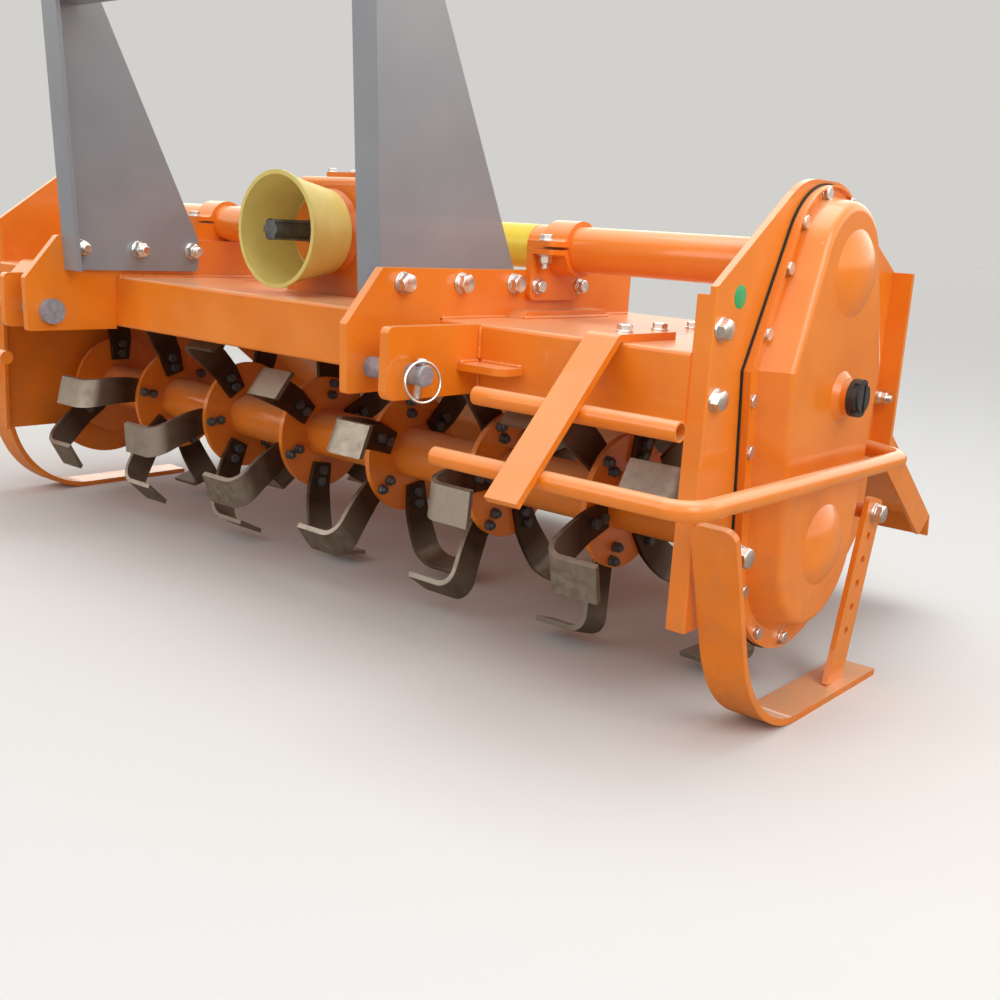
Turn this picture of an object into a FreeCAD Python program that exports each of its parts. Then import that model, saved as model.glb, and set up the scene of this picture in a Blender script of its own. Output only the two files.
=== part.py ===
import FreeCAD, Part
import math
import os

os.makedirs("parts", exist_ok=True)

V = FreeCAD.Vector

# Lengths along Y and heights are measured from the axis of the lower hitch pins.
pin_r = 14.0
pin_head_r = 22.0
pin_head_t = 12.0
pin_tail = 28.0
linch_r = 5.5
linch_in = 15.0
linch_lean = 11.0
linch_ring_r = 27.0
linch_wire = 5.0

# Headstock and hitch.
head_x = 412.5
head_t = 14.0
head_top = 131.0
head_low = -34.6
head_front = -46.0
head_rear = 603.0
head_nose_z = 58.0
head_crown_y = 16.5
clevis_gap = 61.0
lug_t = 15.0
lug_x = head_x + clevis_gap + lug_t
lug_front = -44.6
lug_low = -34.0
shelf_top = 10.0
shelf_t = 10.0
shelf_depth = 44.0
shelf_len = 80.0
doubler_h = 11.0
doubler_w = 30.0
doubler_half = 100.0

# Axes of the cross shaft and of the rotor, and the height over the ground.
axis_y = 392.0
shaft_z = 166.0
deck_top = 61.0
deck_t = 6.0
hood_gap = 23.0
hood_t = 5.0
hood_under_deck = 9.0
rotor_r = 225.0
rotor_z = deck_top - deck_t - hood_under_deck - hood_t - hood_gap - rotor_r
tip_clearance = 13.0
pin_z = rotor_r - rotor_z + tip_clearance
ground = pin_z

# Front beam, deck and rotor hood.
beam_ahead = 3.0
beam_depth = 76.0
beam_low = -30.0
beam_bend = 5.5
deck_rear = 635.0
rear_lip = 100.0
hood_rear_up = 112.0

# Gear case cover.
case_top_r = 108.0
case_low_r = 157.0
case_kink = 182.0
case_kink_z = 37.0
gasket_t = 3.0
flange_t = 6.0
flange_in = 2.0
pan_h = 41.0
pan_bend = 12.0
base_top_in = 16.0
base_low_in = 26.0
base_kink_in = 26.0
face_top_in = 23.0
face_low_in = 48.0
face_kink_in = 48.0
dome_r = 57.0
dome_h = 19.0
dome_bend = 12.0
dome_back = 8.0
dome_drop = 5.0
filler_y = 403.0
filler_z = 0.0
filler_r = 25.0
boss_out = 17.0
plug_t = 12.0
rim_t = 3.0
rim_h = 5.0

# Side plates.
disc_pitch = 230.0
disc_count = 8
disc_margin = 45.0
side_x = disc_pitch * (disc_count - 1) / 2 + disc_margin
side_t = 10.0
side_margin = 100.0
side_front = axis_y - case_low_r - side_margin
beam_front = side_front - beam_ahead
shelf_front = beam_front - shelf_depth
side_rear = 652.0
side_lip = 27.0
side_rear_lip = 31.0
lip_t = 8.0
side_below = 83.0
side_low = rotor_z - side_below
fold_top = 130.0
side_rise = 10.0
side_crown = 3.5
crown_bend = 120.0
side_slope = 0.709
back_slope = 0.58
rear_lip_low = -105.0
rear_top = 162.0
shoulder_y = 590.0
shoulder_z = 194.0
inner = side_x - side_t

# Drive tube and its clamps.
tube_r = 34.0
tube_wall = 6.0
tube_foot_r = 52.0
tube_foot_t = 12.0
clamp_t = 10.0
clamp_w = 48.0
strap_t = 8.0
strap_gap = 2.0
clamp_front = 74.0
clamp_rear = 58.0
clamp_low = 86.0

# Guard.
arm_x = 673.5
arm_w = 50.0
arm_t = 10.0
arm_slope = math.radians(46)
arm_end = 262.0
arm_foot_y = 265.0
bar_r = 12.5
bar_wall = 2.6
bar_along = 107.2
bar_x0 = 546.0
bar_x1 = 860.0
rail_along = 210.0
rail_x0 = 543.0
rail_bend = 34.0
seat_gap = 0.2
rail_out = 80.0
rail_rear = 628.0

# Skids.
skid_gap = 7.0
skid_w = 63.0
skid_t = 10.0
ear_t = 8.0
ear_in = 18.0
spacer_r = 11.0
pivot_back = 21.0
pivot_up = 27.0
pivot_y = side_front + pivot_back
pivot_z = rotor_z + pivot_up
nose_ahead = 25.0
nose_up = 66.0
nose_y = side_front - nose_ahead
nose_z = rotor_z + nose_up
nose_run = 100.0
nose_bend = 190.0
nose_corner = 17.0
runner_rear = 606.0
bolt_margin = 5.0
strip_y = axis_y + case_low_r + spacer_r + bolt_margin
strip_up = 22.0
strip_z = rotor_z + strip_up
strip_half = 26.0
strip_pitch = 36.0
strip_hole_r = 6.5
strip_lean = math.radians(14.5)

# Tailboard.
hinge_y = 657.0
hinge_z = -15.0
hinge_r = 8.0
board_len = 425.0
board_t = 5.0
board_slope = 36.8
board_gap = 6.0
board_half = side_x - side_t - board_gap
board_lip = 24.0
eye_u = 200.0
eye_w = 45.0
rod_x = 300.0
rod_r = 9.0
swivel_y = 630.0
swivel_z = 140.0
post_half = 22.0
post_t = 8.0

# Mast.
mast_t = 8.0
mast_flange = 45.0
mast_top = 590.0
mast_foot = 72.0
mast_front = 24.3
mast_rear = 306.0
mast_corner = 15.0
slope_f = -13.2 / 179.5
slope_r = -99.8 / 195.0
beam_h = 60.0
link_z = 610.0
link_y = 25.0
link_r = 12.7
cheek_in = 28.0
link_cheek_t = 12.0

# Gearbox, its input shaft and the shaft's guard.
gear_half = 95.0
gear_ahead = 100.0
gear_behind = 90.0
gear_y0 = axis_y - gear_ahead
gear_y1 = axis_y + gear_behind
gear_up = 92.0
boss_r = 58.0
boss_len = 30.0
bell_root_r = 72.0
bell_mouth_r = 92.0
bell_len = 100.0
bell_wall = 4.0
bell_rim_t = 3.5
shaft_r = 20.0
spline_r = 17.45
spline_root = 14.9
pto_len = 130.0
pto_end = gear_y0 - pto_len

# Rotor.
hub_r = 44.5
stub_r = 30.0
disc_r = 105.0
disc_half = 5.0
leaf_t = 8.0
leaf_reach = 98.0
leaf_bend = 34.0
leaf_back = 58.0
leaf_root = 58.0
leaf_root_half = 20.0
leaf_neck_half = 25.0
leaf_count = 3
turn_step = 17.0
hand_turn = 60.0
running_gap = 0.05


def box(x0, x1, y0, y1, z0, z1):
    return Part.makeBox(x1 - x0, y1 - y0, z1 - z0, V(x0, y0, z0))


def cyl(x, y, z, r, length, way):
    return Part.makeCylinder(r, length, V(x, y, z), V(*way))


def cyl_x(y, z, r, x0, x1):
    return cyl(x0, y, z, r, x1 - x0, (1, 0, 0))


def ring_x(y, z, r1, r0, x0, x1):
    return cyl_x(y, z, r1, x0, x1).cut(cyl_x(y, z, r0, x0 - 1, x1 + 1))


def outline(points, lift):
    """Closed wire through the corners; a third number gives a corner its radius."""
    spots = [V(*lift(point[0], point[1])) for point in points]
    runs = []
    for i, here in enumerate(spots):
        radius = points[i][2] if len(points[i]) > 2 else 0
        if radius == 0:
            runs.append((here, None, here))
            continue
        u = (spots[i - 1] - here).normalize()
        w = (spots[(i + 1) % len(spots)] - here).normalize()
        half = u.getAngle(w) / 2
        middle = here + (u + w).normalize() * (radius / math.sin(half) - radius)
        reach = radius / math.tan(half)
        runs.append((here + u * reach, middle, here + w * reach))
    edges = []
    for i, (start, middle, end) in enumerate(runs):
        if middle is not None:
            edges.append(Part.Arc(start, middle, end).toShape())
        after = runs[(i + 1) % len(runs)][0]
        edges.append(Part.LineSegment(end, after).toShape())
    return Part.Wire(edges)


def prism_x(points, x0, x1):
    return Part.Face(outline(points, lambda y, z: (x0, y, z))).extrude(V(x1 - x0, 0, 0))


def prism_y(points, y0, y1):
    return Part.Face(outline(points, lambda x, z: (x, y0, z))).extrude(V(0, y1 - y0, 0))


def prism_z(points, z0, z1):
    return Part.Face(outline(points, lambda x, y: (x, y, z0))).extrude(V(0, 0, z1 - z0))


def softened(shape, radius, *spots):
    """Rounds the edges whose middles lie at the spots; None there fits any value."""
    near = 1.5
    chosen = []
    for edge in shape.Edges:
        middle = edge.CenterOfMass
        for spot in spots:
            if all(want is None or abs(want - have) < near for want, have in zip(spot, middle)):
                chosen.append(edge)
                break
    return shape.makeFillet(radius, chosen)


def fuse(first, *rest):
    out = first
    for item in rest:
        out = out.fuse(item)
    return out.removeSplitter()


def mirror(shape):
    return shape.mirror(V(0, 0, 0), V(1, 0, 0))


def turned(shape, y, z, degrees):
    out = shape.copy()
    out.rotate(V(0, y, z), V(1, 0, 0), degrees)
    return out


def pipe(points, radius, bend):
    """A round bar along straight runs with its corners bent."""
    start = points[0]
    pieces = []
    for a, b, c in zip(points, points[1:], points[2:]):
        u = (a - b).normalize()
        w = (c - b).normalize()
        half = u.getAngle(w) / 2
        p = b + u * (bend / math.tan(half))
        mid = (u + w).normalize()
        centre = b + mid * (bend / math.sin(half))
        axle = u.cross(w).normalize()
        disc = Part.Face(Part.Wire(Part.makeCircle(radius, p, u)))
        pieces.append(disc.revolve(centre, axle * -1, 180 - math.degrees(2 * half)))
        pieces.append(Part.makeCylinder(radius, (p - start).Length, start, p - start))
        start = b + w * (bend / math.tan(half))
    end = points[-1]
    pieces.append(Part.makeCylinder(radius, (end - start).Length, start, end - start))
    return fuse(*pieces)


def ribbon(points, t, bend, x0, x1):
    """A bent flat bar: the points run along its outer face, the bar lies to their left."""
    def corner(side, radius):
        line = []
        for i, (y, z) in enumerate(points):
            ways = []
            if i > 0:
                ways.append((y - points[i - 1][0], z - points[i - 1][1]))
            if i < len(points) - 1:
                ways.append((points[i + 1][0] - y, points[i + 1][1] - z))
            ways = [(a / math.hypot(a, b), b / math.hypot(a, b)) for a, b in ways]
            ny = -sum(w[1] for w in ways)
            nz = sum(w[0] for w in ways)
            size = math.hypot(ny, nz)
            ny, nz = ny / size, nz / size
            grow = side / (ny * -ways[0][1] + nz * ways[0][0])
            line.append(V(x0, y + ny * grow, z + nz * grow))
        return rounded(line, radius)
    outer = corner(0, bend)
    inner_side = corner(t, bend - t)
    a = Part.LineSegment(outer[-1].Vertexes[-1].Point, inner_side[-1].Vertexes[-1].Point).toShape()
    b = Part.LineSegment(inner_side[0].Vertexes[0].Point, outer[0].Vertexes[0].Point).toShape()
    wire = Part.Wire(Part.__sortEdges__(outer + inner_side + [a, b]))
    return Part.Face(wire).extrude(V(x1 - x0, 0, 0))


def rounded(points, radius):
    """Edges through the points with round corners."""
    edges = []
    start = points[0]
    for a, b, c in zip(points, points[1:], points[2:]):
        u = (a - b).normalize()
        w = (c - b).normalize()
        half = u.getAngle(w) / 2
        p = b + u * (radius / math.tan(half))
        q = b + w * (radius / math.tan(half))
        top = b + (u + w).normalize() * (radius / math.sin(half) - radius)
        edges.append(Part.LineSegment(start, p).toShape())
        edges.append(Part.Arc(p, top, q).toShape())
        start = q
    edges.append(Part.LineSegment(start, points[-1]).toShape())
    return edges


def touch(py, pz, cy, cz, r, side):
    """Where the line from a point touches a circle, side +1 or -1."""
    d = math.hypot(py - cy, pz - cz)
    a = math.atan2(pz - cz, py - cy) + side * math.acos(r / d)
    return cy + r * math.cos(a), cz + r * math.sin(a)


def case_wire(x, top_r, low_r, kink, kink_z):
    """Outline of the gear case: two round ends and a widest point between."""
    front = touch(axis_y - kink, kink_z, axis_y, shaft_z, top_r, -1)
    rear = (2 * axis_y - front[0], front[1])
    low_f = touch(axis_y - kink, kink_z, axis_y, rotor_z, low_r, 1)
    low_r_pt = (2 * axis_y - low_f[0], low_f[1])
    k_f = V(x, axis_y - kink, kink_z)
    k_r = V(x, axis_y + kink, kink_z)
    p = [V(x, *front), V(x, axis_y, shaft_z + top_r), V(x, *rear)]
    q = [V(x, *low_r_pt), V(x, axis_y, rotor_z - low_r), V(x, *low_f)]
    edges = [Part.Arc(*p).toShape(), Part.LineSegment(p[2], k_r).toShape()]
    edges += [Part.LineSegment(k_r, q[0]).toShape(), Part.Arc(*q).toShape()]
    edges += [Part.LineSegment(q[2], k_f).toShape(), Part.LineSegment(k_f, p[0]).toShape()]
    return Part.Wire(edges)


parts = {}

# Front beam and deck: a folded box along the front and the flat sheet behind it.
beam = box(-inner, inner, beam_front, beam_front + beam_depth, beam_low, deck_top)
bore = box(-inner - 1, inner + 1, beam_front + deck_t, beam_front + beam_depth - deck_t,
           beam_low + deck_t, deck_top - deck_t)
beam = softened(beam.cut(bore), beam_bend, (None, beam_front, deck_top), (None, beam_front, beam_low))
lip_room = box(side_x - side_lip, side_x, beam_front - 1, side_front + lip_t, beam_low - 1, deck_top + 1)
beam = beam.cut(lip_room).cut(mirror(lip_room))
sheet = box(-inner, inner, beam_front + beam_depth - 1, deck_rear, deck_top - deck_t, deck_top)
lip = box(-inner, inner, deck_rear - deck_t, deck_rear, deck_top - rear_lip, deck_top)
parts["deck_frame"] = softened(fuse(beam, sheet, lip), beam_bend, (None, deck_rear, deck_top))

# Rotor hood: a rolled sheet over the rotor between the side plates.
hood_r = rotor_r + hood_gap
hood_out = hood_r + hood_t
hood = ring_x(axis_y, rotor_z, hood_out, hood_r, -inner, inner)
hood = hood.cut(box(-side_x, side_x, axis_y - hood_out - 1, axis_y, rotor_z - hood_out - 1, beam_low))
hood = hood.cut(box(-side_x, side_x, axis_y - hood_out - 1, beam_front + beam_depth, beam_low - 1, deck_top))
hood = hood.cut(box(-side_x, side_x, axis_y, axis_y + hood_out + 1, rotor_z - hood_out - 1,
                    rotor_z + hood_rear_up))
parts["rotor_hood"] = hood

# Headstock: a long plate on each side of the mast, standing on the deck beside a doubler.
head = prism_x([(head_front, head_nose_z, 4), (head_crown_y, head_top, 6), (head_rear, head_top, 4),
                (head_rear, deck_top), (beam_front, deck_top), (beam_front, head_low),
                (head_front + 4, head_low, 4)], head_x - head_t, head_x)
head = head.cut(cyl_x(0, 0, pin_r, head_x - head_t - 1, head_x + 1))
doubler = prism_x([(axis_y - doubler_half - doubler_h, deck_top), (axis_y - doubler_half, deck_top + doubler_h),
                   (axis_y + doubler_half, deck_top + doubler_h), (axis_y + doubler_half + doubler_h, deck_top)],
                  head_x, head_x + doubler_w)
parts["headstock_left"] = fuse(head, doubler)
lug = prism_x([(lug_front, deck_top, 9), (beam_front, deck_top), (beam_front, lug_low), (lug_front, lug_low, 14)],
              lug_x - lug_t, lug_x)
lug = lug.cut(cyl_x(0, 0, pin_r, lug_x - lug_t - 1, lug_x + 1))
shelf = prism_z([(lug_x - 1, beam_front), (lug_x - 1, shelf_front), (lug_x + shelf_len, shelf_front, 18),
                 (lug_x + shelf_len, beam_front)], shelf_top - shelf_t, shelf_top)
parts["hitch_lug_left"] = fuse(lug, shelf)

# Lower hitch pin with its head inside, and the linch pin with its ring at the outer end.
pin_end = lug_x + pin_tail
linch_x = lug_x + linch_in
linch_half = 26.0
pin = fuse(cyl_x(0, 0, pin_r, head_x - head_t - pin_head_t, pin_end),
           cyl_x(0, 0, pin_head_r, head_x - head_t - pin_head_t, head_x - head_t))
pin = softened(pin, 2, (pin_end, 0, 0))
bore = turned(cyl(linch_x, 0, -linch_half - 9, linch_r, 2 * linch_half + 18, (0, 0, 1)), 0, 0, linch_lean)
parts["lower_pin_left"] = pin.cut(bore)
linch = fuse(cyl(linch_x, 0, -linch_half - 2, linch_r, 2 * linch_half, (0, 0, 1)),
             cyl(linch_x, 0, linch_half - 2, linch_r + 3.5, 9, (0, 0, 1)))
ring = ring_x(0, -7, linch_ring_r + linch_wire / 2, linch_ring_r - linch_wire / 2,
              linch_x + 6, linch_x + 6 + linch_wire)
ring.rotate(V(linch_x + 6, 0, -7), V(0, 0, 1), -17)
parts["linch_pin_left"] = turned(fuse(linch, ring), 0, 0, linch_lean)

# Mast: a tapered upright bolted inside each headstock plate, folded in at its front.
mast_in = head_x - head_t


def front_line(z):
    return mast_front + slope_f * (z - head_top)


top_f = front_line(mast_top)
top_r = mast_rear + slope_r * (mast_top - head_top)
mast = prism_x([(front_line(mast_foot), mast_foot), (top_f, mast_top, mast_corner),
                (top_r, mast_top, mast_corner), (mast_rear, head_top), (mast_rear, mast_foot, 10)],
               mast_in - mast_t, mast_in)
flange_top = mast_top - mast_corner
flange = prism_x([(front_line(mast_foot), mast_foot), (front_line(flange_top), flange_top),
                  (front_line(flange_top) + mast_t, flange_top), (front_line(mast_foot) + mast_t, mast_foot)],
                 mast_in - mast_flange, mast_in)
parts["mast_left"] = fuse(mast, flange)

# Mast head: the cross beam and the two cheeks of the top link.
beam_y0 = front_line(flange_top) + mast_t
beam_z0 = flange_top - beam_h
low_y0 = front_line(beam_z0) + mast_t
head_beam = prism_x([(beam_y0, flange_top), (low_y0, beam_z0), (beam_y0 + beam_h, beam_z0),
                     (beam_y0 + beam_h, flange_top)], -(mast_in - mast_t), mast_in - mast_t)
cheek = prism_x([(low_y0, beam_z0), (beam_y0, link_z + 15), (link_y - 8, link_z + 32, 12),
                 (link_y + 22, link_z + 32, 16), (beam_y0 + beam_h, link_z), (beam_y0 + beam_h, beam_z0)],
                cheek_in, cheek_in + link_cheek_t)
cheek = cheek.cut(cyl_x(link_y, link_z, link_r, cheek_in - 1, cheek_in + link_cheek_t + 1))
parts["mast_head"] = fuse(head_beam, cheek, mirror(cheek))

# Gearbox: cast block with feet on the deck, a lid, a rear cover and the boss of the input shaft.
gear_top = shaft_z + gear_up
block = box(-gear_half, gear_half, gear_y0, gear_y1, deck_top, gear_top)
edges = [e for e in block.Edges if e.CenterOfMass.z > deck_top + 1]
block = block.makeFillet(14, edges)
feet = prism_z([(-gear_half - 32, gear_y0 + 8, 12), (gear_half + 32, gear_y0 + 8, 12),
                (gear_half + 32, gear_y1 - 8, 12), (-gear_half - 32, gear_y1 - 8, 12)], deck_top, deck_top + 14)
lid = prism_z([(-60, axis_y - 66, 14), (60, axis_y - 66, 14), (60, axis_y + 56, 14), (-60, axis_y + 56, 14)],
              gear_top - 1, gear_top + 9)
rear_cover = prism_y([(-72, shaft_z - 66, 22), (72, shaft_z - 66, 22), (72, shaft_z + 66, 22), (-72, shaft_z + 66, 22)],
                     gear_y1 - 1, gear_y1 + 24)
boss = cyl(0, gear_y0 + 1, shaft_z, boss_r, boss_len + 1, (0, -1, 0))
neck = Part.makeCone(boss_r + 14, boss_r, 14, V(0, gear_y0, shaft_z), V(0, -1, 0))
box_body = fuse(block, feet, lid, rear_cover, boss, neck)
seat_depth = 12.0
box_body = box_body.cut(cyl(0, gear_y0 + seat_depth, shaft_z, shaft_r + running_gap, 60, (0, -1, 0)))
parts["gearbox"] = box_body
shaft = cyl(0, gear_y0 + seat_depth - 2, shaft_z, shaft_r, 52, (0, -1, 0))
spline = cyl(0, gear_y0 - 40, shaft_z, spline_r, gear_y0 - 40 - pto_end, (0, -1, 0))
for i in range(6):
    slot = box(-4.6, 4.6, pto_end - 1, gear_y0 - 60, shaft_z + spline_root, shaft_z + shaft_r)
    slot.rotate(V(0, 0, shaft_z), V(0, 1, 0), 60 * i)
    spline = spline.cut(slot)
parts["pto_shaft"] = fuse(shaft, spline)
guard_y = gear_y0 - boss_len + 10
bell = Part.makeCone(bell_root_r, bell_mouth_r, bell_len, V(0, guard_y, shaft_z), V(0, -1, 0))
bell = bell.cut(Part.makeCone(bell_root_r - bell_wall, bell_mouth_r - bell_rim_t, bell_len + 1,
                              V(0, guard_y + 0.1, shaft_z), V(0, -1, 0)))
rim = cyl(0, guard_y - bell_len + 4, shaft_z, bell_mouth_r + 3, 4, (0, -1, 0))
rim = rim.cut(cyl(0, guard_y - bell_len + 5, shaft_z, bell_mouth_r - 4, 6, (0, -1, 0)))
collar = cyl(0, guard_y + 3, shaft_z, bell_root_r, 4, (0, -1, 0))
collar = collar.cut(cyl(0, gear_y0, shaft_z, boss_r + 0.2, boss_len, (0, -1, 0)))
parts["pto_guard"] = fuse(bell, rim, collar)

# Cross tube: encloses the drive to the gear case, with its twin brace on the other side.
tube = ring_x(axis_y, shaft_z, tube_r, tube_r - tube_wall, gear_half, inner)
foot = ring_x(axis_y, shaft_z, tube_foot_r, tube_r - tube_wall, gear_half, gear_half + tube_foot_t)
end = ring_x(axis_y, shaft_z, tube_foot_r, tube_r - tube_wall, inner - tube_foot_t, inner)
parts["drive_tube"] = fuse(tube, foot, end)
parts["brace_tube"] = mirror(parts["drive_tube"])

# Tube clamps: a plate on each headstock folded into a saddle, and a bent strap over the tube.
br_x0 = head_x
br_x1 = head_x + clamp_t
st_x1 = head_x + clamp_w
strap_r = tube_r + strap_t
ear_y0 = axis_y - clamp_front
ear_y1 = axis_y + clamp_rear
slack = 2.0
rise = strap_gap + strap_t
nook = math.sqrt(strap_r ** 2 - rise ** 2)
plate = prism_x([(ear_y0, clamp_low, 12), (ear_y0, shaft_z - strap_gap), (ear_y1, shaft_z - strap_gap),
                 (ear_y1, clamp_low, 12)], br_x0, br_x1)


def strap_half(way):
    shell = ring_x(axis_y, shaft_z, strap_r, tube_r, br_x0, st_x1)
    z0, z1 = sorted((shaft_z + way * strap_gap, shaft_z + way * 99))
    shell = shell.common(box(br_x0, st_x1, ear_y0, ear_y1, z0, z1))
    z0, z1 = sorted((shaft_z + way * strap_gap, shaft_z + way * rise))
    ears = [box(br_x0, st_x1, ear_y0, axis_y - tube_r - slack, z0, z1),
            box(br_x0, st_x1, axis_y + tube_r + slack, ear_y1, z0, z1)]
    half = fuse(shell, *ears)
    level = shaft_z + way * rise
    half = softened(half, strap_t + 1, (None, axis_y - nook, level), (None, axis_y + nook, level))
    level = shaft_z + way * (strap_gap + strap_t / 2)
    return softened(half, 9, (st_x1, ear_y0, level), (st_x1, ear_y1, level))


tube_room = cyl_x(axis_y, shaft_z, tube_r, br_x0 - 1, st_x1 + 1)
parts["clamp_saddle_left"] = fuse(plate, strap_half(-1)).cut(tube_room)
parts["clamp_strap_left"] = strap_half(1).cut(tube_room)

# Side plates: folded in along the front, folded out along the rear.
crown_z = shaft_z + case_top_r + side_crown
side_z = fold_top + side_rise
side = prism_x([(side_front, side_z), (side_front + (crown_z - side_z) / side_slope, crown_z, crown_bend),
                (shoulder_y - (crown_z - shoulder_z) / back_slope, crown_z, crown_bend), (shoulder_y, shoulder_z),
                (side_rear, rear_top), (side_rear, side_low + 60), (side_rear - 60, side_low),
                (side_front, side_low)], inner, side_x)
lobe = cyl_x(axis_y, rotor_z, case_low_r, inner, side_x)
front_lip = box(side_x - side_lip, side_x, side_front, side_front + lip_t, side_low, fold_top)
back_lip = box(inner, side_x + side_rear_lip, side_rear - lip_t, side_rear, rear_lip_low, rear_top)
side = fuse(side, lobe, front_lip, back_lip)
side = softened(side, 3, (side_x, side_front, (side_low + side_z) / 2))
side = side.cut(cyl_x(axis_y, rotor_z, stub_r + running_gap, inner - 5, side_x + 5))
parts["side_plate_left"] = side
parts["side_plate_right"] = mirror(side)

# Gear case: gasket, flanged pan with two domes, and the filler plug.
wire = case_wire(side_x, case_top_r, case_low_r, case_kink, case_kink_z)
parts["cover_gasket"] = Part.Face(wire).extrude(V(gasket_t, 0, 0))
x_f = side_x + gasket_t
x_p = x_f + flange_t
x_t = x_p + pan_h
wire = case_wire(x_f, case_top_r - flange_in, case_low_r - flange_in, case_kink - flange_in, case_kink_z)
flange = Part.Face(wire).extrude(V(flange_t, 0, 0))
base = case_wire(x_f + 1, case_top_r - base_top_in, case_low_r - base_low_in, case_kink - base_kink_in, case_kink_z)
face = case_wire(x_t, case_top_r - face_top_in, case_low_r - face_low_in, case_kink - face_kink_in, case_kink_z)
pan = Part.makeLoft([base, face], True, True)
edges = [e for e in pan.Edges if abs(e.CenterOfMass.x - x_t) < 0.1]
pan = pan.makeFillet(pan_bend, edges)


def dome(z):
    ball_r = (dome_r ** 2 + dome_h ** 2) / (2 * dome_h)
    y = axis_y + dome_back
    ball = Part.makeSphere(ball_r, V(x_t + dome_h - ball_r, y, z))
    cap = ball.common(box(x_t - 3, x_t + dome_h + 1, y - 2 * dome_r, y + 2 * dome_r, z - 2 * dome_r, z + 2 * dome_r))
    return cap


outer = case_wire(x_p, case_top_r - flange_in, case_low_r - flange_in, case_kink - flange_in, case_kink_z)
within = flange_in + rim_t
bare = case_wire(x_p - 1, case_top_r - within, case_low_r - within, case_kink - within, case_kink_z)
rim = Part.Face(outer).extrude(V(rim_h, 0, 0)).cut(Part.Face(bare).extrude(V(rim_h + 2, 0, 0)))
neck = Part.makeCone(filler_r + 9, filler_r, 9, V(x_t - 1, filler_y, filler_z), V(1, 0, 0))
boss = fuse(neck, cyl_x(filler_y, filler_z, filler_r - 1, x_t - 2, x_t + boss_out))
parts["gear_cover"] = fuse(flange, rim, pan, dome(shaft_z - dome_drop), dome(rotor_z), boss)
x_k = x_t + boss_out
plug = fuse(cyl_x(filler_y, filler_z, filler_r + 0.5, x_k, x_k + plug_t),
            cyl_x(filler_y, filler_z, filler_r - 6, x_k, x_k + plug_t + 3))
for i in range(4):
    notch = cyl_x(filler_y, filler_z + filler_r + 1, 4.5, x_k + plug_t - 6, x_k + plug_t + 1)
    notch.rotate(V(x_k, filler_y, filler_z), V(1, 0, 0), 45 + 90 * i)
    plug = plug.cut(notch)
slot = box(x_k + plug_t, x_k + plug_t + 4, filler_y - 3, filler_y + 3, filler_z - filler_r, filler_z + filler_r)
parts["filler_plug"] = plug.cut(slot)

# Bearing housing of the rotor on the other side plate.
bearing = fuse(cyl_x(axis_y, rotor_z, 85, -side_x - 12, -side_x),
               Part.makeCone(66, 52, 28, V(-side_x - 12, axis_y, rotor_z), V(-1, 0, 0)),
               cyl_x(axis_y, rotor_z, 46, -side_x - 46, -side_x))
parts["rotor_bearing"] = softened(bearing, 3, (-side_x - 46, axis_y, rotor_z))

# Guard: flat arm from the deck, upper bar and lower rail.
arm_dy = math.cos(arm_slope)
arm_dz = math.sin(arm_slope)
b0 = (beam_front - 2, deck_top)
e0 = (b0[0] - arm_end * arm_dy, b0[1] - arm_end * arm_dz)
e1 = (e0[0] - arm_t * arm_dz, e0[1] + arm_t * arm_dy)
b1 = (b0[0] - arm_t * math.tan(arm_slope / 2), deck_top + arm_t)
arm = prism_x([b0, e0, e1, (b1[0], b1[1], 14), (arm_foot_y, deck_top + arm_t), (arm_foot_y, deck_top)],
              arm_x, arm_x + arm_w)
arm = softened(arm, 10, (arm_x, arm_foot_y, deck_top + arm_t / 2), (arm_x + arm_w, arm_foot_y, deck_top + arm_t / 2))
parts["guard_arm_left"] = arm


def on_arm(along):
    """Centre of a bar that lies behind the sloping arm."""
    off = bar_r + seat_gap
    return (b0[0] - along * arm_dy + off * arm_dz, b0[1] - along * arm_dz - off * arm_dy)


bar_y, bar_z = on_arm(bar_along)
rail_y, rail_z = on_arm(rail_along)
bar = ring_x(bar_y, bar_z, bar_r, bar_r - bar_wall, bar_x0, bar_x1)
parts["guard_bar_left"] = bar
rail_x = side_x + rail_out
rail = pipe([V(rail_x0, rail_y, rail_z), V(rail_x - 4, rail_y, rail_z), V(rail_x, rail_rear - 58, rail_z),
             V(side_x - 20, rail_rear, rail_z)], bar_r, rail_bend)
rail = rail.cut(box(0, side_x, axis_y - 92, side_rear + 50, rail_z - 20, rail_z + 20))
parts["guard_rail_left"] = rail

# Skid: runner with an upturned nose, an ear at its pivot and a drilled strip at its rear.
sk0 = side_x + skid_gap
sk1 = sk0 + skid_w
runner = ribbon([(nose_y, nose_z), (nose_y + nose_run, -ground), (runner_rear, -ground)],
                skid_t, nose_bend, sk0, sk1)
tips = []
for edge in runner.Edges:
    spot = edge.CenterOfMass
    upright = abs(edge.Vertexes[0].Point.x - edge.Vertexes[-1].Point.x) < 0.1
    if upright and spot.z > nose_z - 2 * skid_t and edge.Length < skid_t + 1:
        tips.append(edge)
runner = runner.makeFillet(nose_corner, tips)
nose_tan = nose_run / (ground + nose_z)


def behind_nose(z):
    return nose_y + (nose_z - z) * nose_tan + 2


ear_x = sk1 - ear_in
ear = prism_x([(behind_nose(pivot_z - 24), pivot_z - 24), (behind_nose(pivot_z + 24), pivot_z + 24),
               (pivot_y + 20, pivot_z + 9, 8), (pivot_y + 20, pivot_z - 24, 10)], ear_x - ear_t, ear_x)


def on_strip(along, across, *corner):
    return (strip_y - along * math.sin(strip_lean) + across * math.cos(strip_lean),
            strip_z - along * math.cos(strip_lean) - across * math.sin(strip_lean)) + corner


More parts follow.
